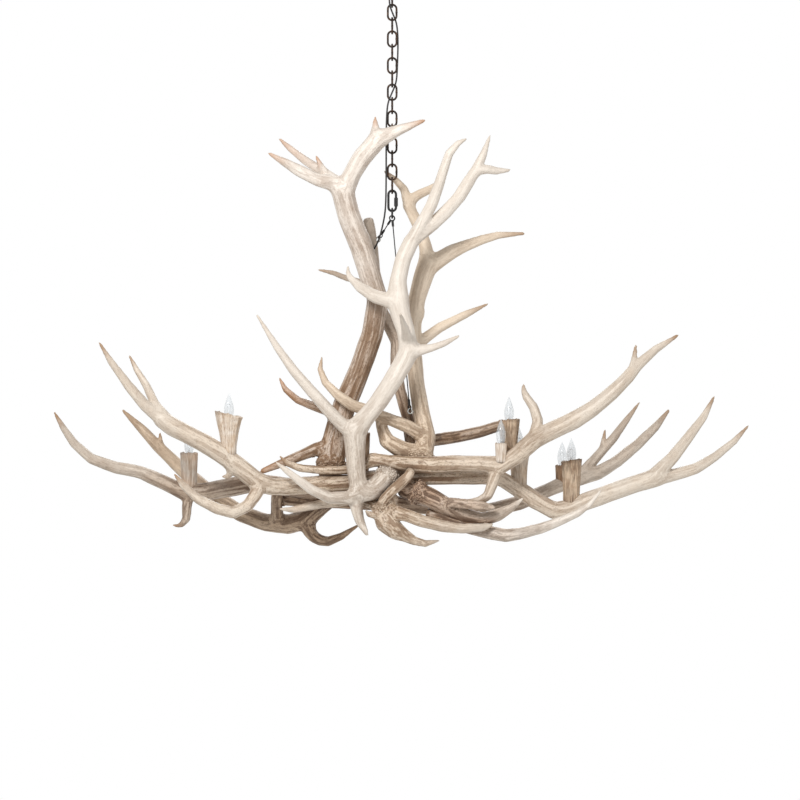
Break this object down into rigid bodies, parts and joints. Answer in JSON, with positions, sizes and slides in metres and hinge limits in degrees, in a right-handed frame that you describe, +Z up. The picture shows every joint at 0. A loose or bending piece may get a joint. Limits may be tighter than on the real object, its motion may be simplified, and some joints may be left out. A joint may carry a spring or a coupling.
{
  "type": "antler chandelier",
  "caption": "Chandelier of shed antlers coped together round a hub, with candle-style lamps in antler cups, hung by a chain from a ceiling canopy.",
  "frame": {"origin": "middle of the ceiling strap's top face, which lies flat against the ceiling", "axes": "+Z up, +X to the right of someone facing the lamp, +Y away from them"},
  "size_m": [1.7477, 0.6113, 1.4534],
  "materials": {
    "antler_cream": "smooth pale antler with grey-brown flecks",
    "antler_brown": "ridged brown antler with cream ridges",
    "antler_cut": "sawn and coped antler base with upright grain",
    "bronze": "dark bronze lacquer, slightly rubbed",
    "black_steel": "black oxide",
    "zinc_steel": "zinc-plated",
    "cord_black": "matt",
    "socket_white": "matt phenolic or ceramic",
    "bulb_glass": "clear",
    "brass": "plain threaded tube"
  },
  "bodies": {
    "ceiling_fitting": {"ceiling_strap": "zinc_steel", "threaded_stem": "zinc_steel", "stem_locknut": "zinc_steel", "canopy": "bronze", "collar_loop": "bronze"},
    "link_01": {"chain_link_01": "bronze"},
    "link_02": {"chain_link_02": "bronze"},
    "link_03": {"chain_link_03": "bronze"},
    "link_04": {"chain_link_04": "bronze"},
    "link_05": {"chain_link_05": "bronze"},
    "link_06": {"chain_link_06": "bronze"},
    "link_07": {"chain_link_07": "bronze"},
    "link_08": {"chain_link_08": "bronze"},
    "link_09": {"chain_link_09": "bronze"},
    "link_10": {"chain_link_10": "bronze"},
    "link_11": {"chain_link_11": "bronze"},
    "link_12": {"chain_link_12": "bronze"},
    "link_13": {"chain_link_13": "bronze"},
    "link_14": {"chain_link_14": "bronze"},
    "link_15": {"chain_link_15": "bronze"},
    "quick_link": {"quick_link": "black_steel"},
    "sleeve": {"quick_link_sleeve": "black_steel"},
    "antler_cluster": {"hanging_ring": "black_steel", "suspension_cables": "black_steel", "screw_eyes": "zinc_steel", "power_cord": "cord_black", "sockets": "socket_white", "socket_nipples": "brass", "antler_left_upright": "antler_cream", "antler_front_upright": "antler_cream", "antler_right_upright": "antler_cream", "antler_rear_upright": "antler_brown", "antler_left_front": "antler_cream", "antler_left_rear_ring": "antler_brown", "antler_left_back": "antler_brown", "antler_right_front": "antler_cream", "antler_right_middle": "antler_brown", "antler_right_long": "antler_cream", "antler_right_low": "antler_brown", "antler_right_back": "antler_brown", "antler_bottom": "antler_cream", "cup_left_front": "antler_cut", "cup_left_end": "antler_cut", "cup_centre": "antler_cut", "cup_right_branch": "antler_cut", "cup_right_front": "antler_cut", "cup_right_inner": "antler_cut", "cup_right_outer": "antler_cut", "cup_right_back": "antler_cut"},
    "bulb_left_front": {"bulb_left_front": "bulb_glass"},
    "bulb_left_end": {"bulb_left_end": "bulb_glass"},
    "bulb_centre": {"bulb_centre": "bulb_glass"},
    "bulb_right_branch": {"bulb_right_branch": "bulb_glass"},
    "bulb_right_front": {"bulb_right_front": "bulb_glass"},
    "bulb_right_inner": {"bulb_right_inner": "bulb_glass"},
    "bulb_right_outer": {"bulb_right_outer": "bulb_glass"},
    "bulb_right_back": {"bulb_right_back": "bulb_glass"}
  },
  "joints": [
    {"name": "link_01_swing", "type": "hinge", "parent": "ceiling_fitting", "child": "link_01", "pos_m": [0, 0, -0.0678], "axis": [1, 0, 0], "range_deg": [-5, 5]},
    {"name": "link_02_swing", "type": "hinge", "parent": "link_01", "child": "link_02", "pos_m": [0, 0, -0.10085], "axis": [0, 1, 0], "range_deg": [-5, 5]},
    {"name": "link_03_swing", "type": "hinge", "parent": "link_02", "child": "link_03", "pos_m": [0, 0, -0.1341], "axis": [1, 0, 0], "range_deg": [-5, 5]},
    {"name": "link_04_swing", "type": "hinge", "parent": "link_03", "child": "link_04", "pos_m": [0, 0, -0.16735], "axis": [0, 1, 0], "range_deg": [-5, 5]},
    {"name": "link_05_swing", "type": "hinge", "parent": "link_04", "child": "link_05", "pos_m": [0, 0, -0.2006], "axis": [1, 0, 0], "range_deg": [-5, 5]},
    {"name": "link_06_swing", "type": "hinge", "parent": "link_05", "child": "link_06", "pos_m": [0, 0, -0.23385], "axis": [0, 1, 0], "range_deg": [-5, 5]},
    {"name": "link_07_swing", "type": "hinge", "parent": "link_06", "child": "link_07", "pos_m": [0, 0, -0.2671], "axis": [1, 0, 0], "range_deg": [-5, 5]},
    {"name": "link_08_swing", "type": "hinge", "parent": "link_07", "child": "link_08", "pos_m": [0, 0, -0.30035], "axis": [0, 1, 0], "range_deg": [-5, 5]},
    {"name": "link_09_swing", "type": "hinge", "parent": "link_08", "child": "link_09", "pos_m": [0, 0, -0.3336], "axis": [1, 0, 0], "range_deg": [-5, 5]},
    {"name": "link_10_swing", "type": "hinge", "parent": "link_09", "child": "link_10", "pos_m": [0, 0, -0.36685], "axis": [0, 1, 0], "range_deg": [-5, 5]},
    {"name": "link_11_swing", "type": "hinge", "parent": "link_10", "child": "link_11", "pos_m": [0, 0, -0.4001], "axis": [1, 0, 0], "range_deg": [-5, 5]},
    {"name": "link_12_swing", "type": "hinge", "parent": "link_11", "child": "link_12", "pos_m": [0, 0, -0.43335], "axis": [0, 1, 0], "range_deg": [-5, 5]},
    {"name": "link_13_swing", "type": "hinge", "parent": "link_12", "child": "link_13", "pos_m": [0, 0, -0.4666], "axis": [1, 0, 0], "range_deg": [-5, 5]},
    {"name": "link_14_swing", "type": "hinge", "parent": "link_13", "child": "link_14", "pos_m": [0, 0, -0.49985], "axis": [0, 1, 0], "range_deg": [-5, 5]},
    {"name": "link_15_swing", "type": "hinge", "parent": "link_14", "child": "link_15", "pos_m": [0, 0, -0.5331], "axis": [1, 0, 0], "range_deg": [-5, 5]},
    {"name": "quick_link_swing", "type": "hinge", "parent": "link_15", "child": "quick_link", "pos_m": [0, 0, -0.56635], "axis": [0, 1, 0], "range_deg": [-5, 5]},
    {"name": "sleeve_screw", "type": "slide", "parent": "quick_link", "child": "sleeve", "axis": [0, 0, 1], "range_m": [0, 0.008]},
    {"name": "cluster_turn", "type": "hinge", "parent": "quick_link", "child": "antler_cluster", "pos_m": [0, 0, -0.61655], "axis": [0, 0, 1], "range_deg": [-20, 20], "deforming": ["power_cord"]},
    {"name": "bulb_left_front_unscrew", "type": "hinge", "parent": "antler_cluster", "child": "bulb_left_front", "pos_m": [-0.4026, -0.1329, -1.22355], "axis": [0, 0, 1], "range_deg": [0, 180]},
    {"name": "bulb_left_end_unscrew", "type": "hinge", "parent": "antler_cluster", "child": "bulb_left_end", "pos_m": [-0.5106, 0.0579, -1.22355], "axis": [0, 0, 1], "range_deg": [0, 180]},
    {"name": "bulb_centre_unscrew", "type": "hinge", "parent": "antler_cluster", "child": "bulb_centre", "pos_m": [-0.0756, -0.0056, -1.22355], "axis": [0, 0, 1], "range_deg": [0, 180]},
    {"name": "bulb_right_branch_unscrew", "type": "hinge", "parent": "antler_cluster", "child": "bulb_right_branch", "pos_m": [0.2914, -0.0299, -1.22355], "axis": [0, 0, 1], "range_deg": [0, 180]},
    {"name": "bulb_right_front_unscrew", "type": "hinge", "parent": "antler_cluster", "child": "bulb_right_front", "pos_m": [0.2704, -0.07, -1.22355], "axis": [0, 0, 1], "range_deg": [0, 180]},
    {"name": "bulb_right_inner_unscrew", "type": "hinge", "parent": "antler_cluster", "child": "bulb_right_inner", "pos_m": [0.3184, 0.0388, -1.22355], "axis": [0, 0, 1], "range_deg": [0, 180]},
    {"name": "bulb_right_outer_unscrew", "type": "hinge", "parent": "antler_cluster", "child": "bulb_right_outer", "pos_m": [0.4494, 0.0339, -1.22355], "axis": [0, 0, 1], "range_deg": [0, 180]},
    {"name": "bulb_right_back_unscrew", "type": "hinge", "parent": "antler_cluster", "child": "bulb_right_back", "pos_m": [0.4334, 0.2203, -1.22355], "axis": [0, 0, 1], "range_deg": [0, 180]}
  ]
}
